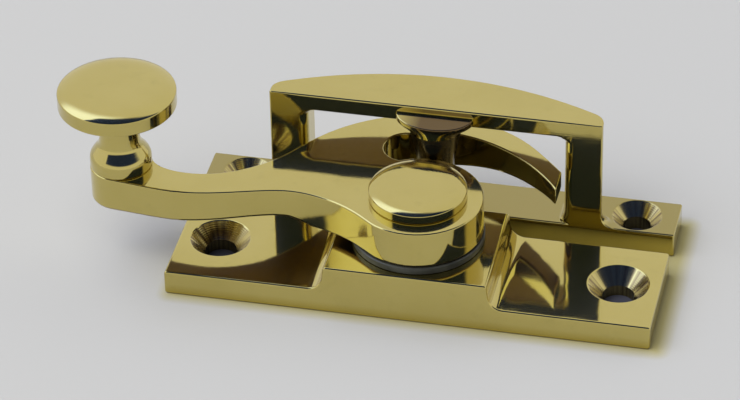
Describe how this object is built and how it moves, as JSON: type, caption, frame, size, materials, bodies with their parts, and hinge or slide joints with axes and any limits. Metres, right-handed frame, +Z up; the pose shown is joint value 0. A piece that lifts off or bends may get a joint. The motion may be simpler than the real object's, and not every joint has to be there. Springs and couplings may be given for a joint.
{
  "type": "quadrant arm sash fastener",
  "caption": "Brass window sash fastener: a knobbed lever turns on a base plate and its crescent hooks behind a peg that hangs from the keeper's bridge.",
  "frame": {"origin": "on the base plate's underside, straight below the arm's pivot", "axes": "+X along both plates, away from the knob; +Y from the fastener to the keeper; +Z up, out of the window rail"},
  "size_m": [0.0869, 0.0307, 0.0278],
  "materials": {
    "base_brass": "polished casting",
    "arm_brass": "polished casting",
    "keeper_brass": "polished casting",
    "turned_brass": "turned and polished",
    "bronze": "machined bronze",
    "steel": "machined",
    "nylon": "satin"
  },
  "bodies": {
    "base": {"fastener_base": "base_brass", "pivot_post": "steel", "friction_washer": "nylon", "spring_washer": "steel", "clamp_washer": "steel", "retaining_nut": "steel", "keeper_frame": "keeper_brass", "keeper_peg": "keeper_brass"},
    "arm": {"quadrant_arm": "arm_brass", "arm_bush": "bronze", "pivot_cap": "turned_brass", "knob": "turned_brass", "knob_screw": "steel"}
  },
  "joints": [
    {"name": "arm_pivot", "type": "hinge", "parent": "base", "child": "arm", "pos_m": [0, 0, 0.00875], "axis": [0, 0, 1], "range_deg": [0, 180]}
  ]
}
